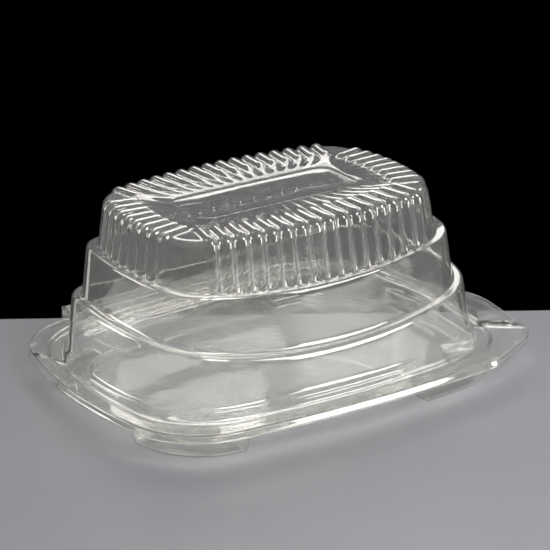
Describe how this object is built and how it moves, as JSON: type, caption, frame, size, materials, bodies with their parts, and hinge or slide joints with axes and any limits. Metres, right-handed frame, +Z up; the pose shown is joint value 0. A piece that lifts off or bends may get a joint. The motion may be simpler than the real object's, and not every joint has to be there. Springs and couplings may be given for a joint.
{
  "type": "hinged clamshell food pack",
  "caption": "Clear thermoformed clamshell pack: shallow footed tray, tall tiered dome lid with a ribbed crown, joined along the back by a two-fold hinge strip.",
  "frame": {"origin": "on the plane of the four feet, under the middle of the closed pack's box", "axes": "+X along the pack to the end with the pull tab, +Y to the back where the fold is, +Z up"},
  "size_m": [0.2112, 0.167, 0.0879],
  "materials": {
    "base_tray": "clear gloss",
    "hinge_strip": "clear gloss",
    "lid": "clear gloss"
  },
  "bodies": {
    "base": {"base_tray": "base_tray"},
    "strip": {"hinge_strip": "hinge_strip"},
    "lid": {"lid": "lid"}
  },
  "joints": [
    {"name": "lower_fold", "type": "hinge", "parent": "base", "child": "strip", "pos_m": [0, 0.0835, 0.0117], "axis": [-1, 0, 0], "range_deg": [0, 62]},
    {"name": "upper_fold", "type": "hinge", "parent": "strip", "child": "lid", "pos_m": [0, 0.0835, 0.0177], "axis": [-1, 0, 0], "range_deg": [0, 62]}
  ],
  "couplings": [
    {"joint": "lower_fold", "follows": "upper_fold", "ratio": 1}
  ]
}
